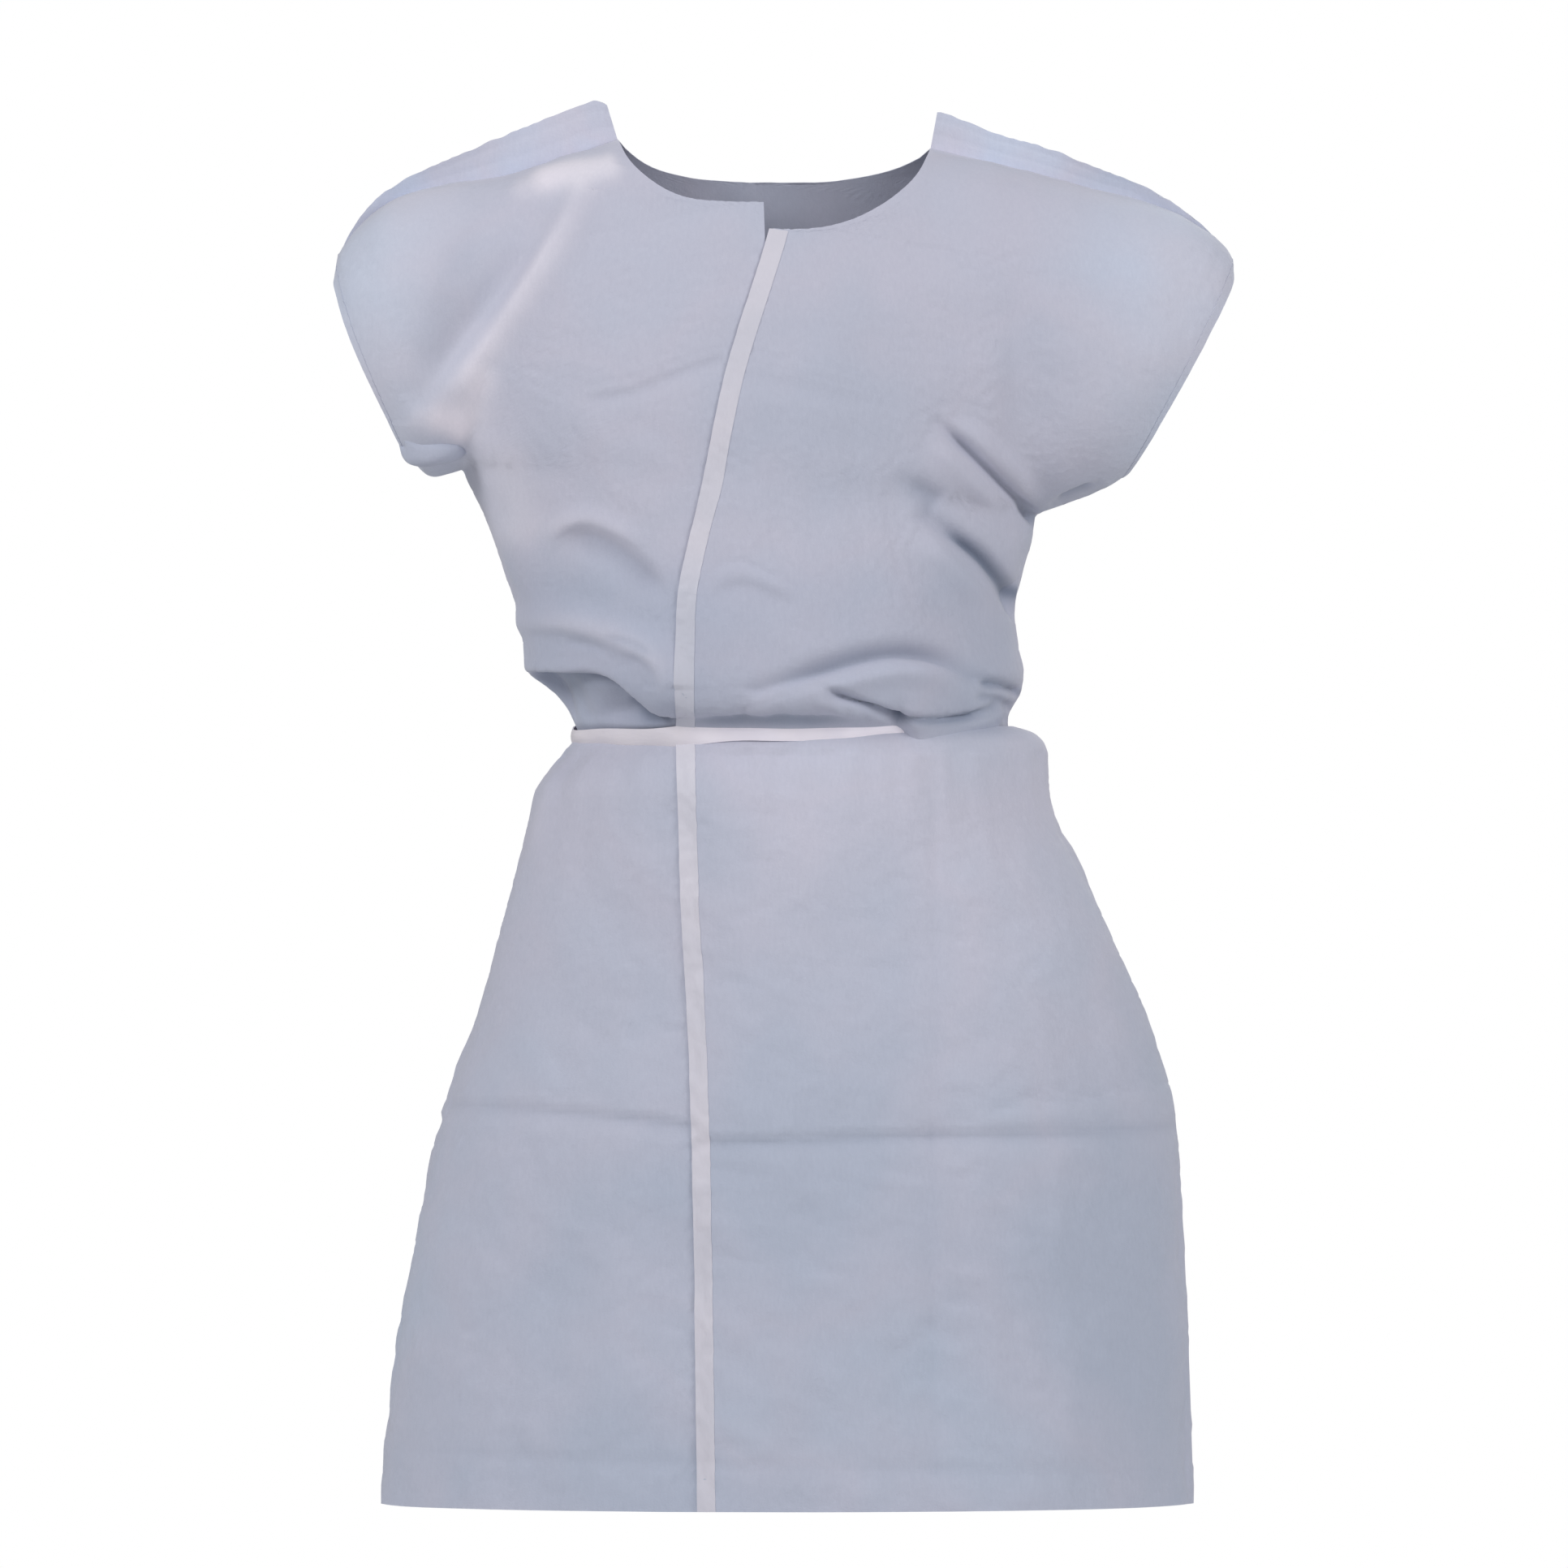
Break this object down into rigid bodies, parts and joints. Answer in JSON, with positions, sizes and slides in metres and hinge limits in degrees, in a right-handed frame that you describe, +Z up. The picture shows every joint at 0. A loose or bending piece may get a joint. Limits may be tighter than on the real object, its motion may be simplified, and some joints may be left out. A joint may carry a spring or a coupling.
{
  "type": "patient gown",
  "caption": "Knee-length disposable patient gown with cap sleeves, a lapped front opening edged with pale tape, upright shoulder seams and a waist belt tied behind.",
  "frame": {"origin": "middle of the neck opening at the height where the shoulder seams rest on the neck, in the plane of the shoulder seams", "axes": "+Z up, front of the gown towards -Y, +X to the wearer's left"},
  "size_m": [0.642, 0.292, 1.002],
  "materials": {
    "gown_tissue": "matte",
    "edge_tape": "satin",
    "belt_film": "satin"
  },
  "bodies": {
    "root": {"right_front_yoke": "gown_tissue", "right_front_bodice": "gown_tissue", "right_front_skirt": "gown_tissue", "right_back_yoke": "gown_tissue", "right_back_bodice": "gown_tissue", "right_back_skirt": "gown_tissue", "right_shoulder_seam": "gown_tissue", "left_front_yoke": "gown_tissue", "left_front_bodice": "gown_tissue", "left_front_skirt": "gown_tissue", "left_back_yoke": "gown_tissue", "left_back_bodice": "gown_tissue", "left_back_skirt": "gown_tissue", "left_shoulder_seam": "gown_tissue", "bodice_edge_tape": "edge_tape", "waist_belt": "belt_film", "belt_knot": "belt_film"},
    "right_sleeve": {"right_sleeve_front": "gown_tissue", "right_sleeve_back": "gown_tissue", "right_sleeve_hem": "gown_tissue", "right_sleeve_seam": "gown_tissue"},
    "left_sleeve": {"left_sleeve_front": "gown_tissue", "left_sleeve_back": "gown_tissue", "left_sleeve_hem": "gown_tissue", "left_sleeve_seam": "gown_tissue"},
    "front_flap": {"left_skirt_flap": "gown_tissue", "skirt_edge_tape": "edge_tape"},
    "under_flap": {"right_skirt_flap": "gown_tissue"},
    "right_tail": {"right_belt_tail": "belt_film"},
    "left_tail": {"left_belt_tail": "belt_film"}
  },
  "joints": [
    {"name": "right_sleeve_lift", "type": "hinge", "parent": "root", "child": "right_sleeve", "pos_m": [-0.165, 0, 0.03], "axis": [0, 1, 0], "range_deg": [0, 45]},
    {"name": "left_sleeve_lift", "type": "hinge", "parent": "root", "child": "left_sleeve", "pos_m": [0.165, 0, 0.03], "axis": [0, -1, 0], "range_deg": [0, 45]},
    {"name": "front_flap_open", "type": "hinge", "parent": "root", "child": "front_flap", "pos_m": [0.0605, -0.138, -0.7075], "axis": [-0.4493, 0, 0.8934], "range_deg": [0, 75]},
    {"name": "under_flap_open", "type": "hinge", "parent": "root", "child": "under_flap", "pos_m": [-0.0875, -0.131, -0.8025], "axis": [-0.5335, 0, -0.8458], "range_deg": [0, 38]},
    {"name": "right_tail_swing", "type": "hinge", "parent": "root", "child": "right_tail", "pos_m": [0.005, 0.1095, -0.4275], "axis": [1, 0, 0], "range_deg": [0, 60]},
    {"name": "left_tail_swing", "type": "hinge", "parent": "root", "child": "left_tail", "pos_m": [0.024, 0.1095, -0.4275], "axis": [1, 0, 0], "range_deg": [0, 60]}
  ],
  "couplings": [
    {"joint": "under_flap_open", "follows": "front_flap_open", "ratio": 0.5}
  ]
}
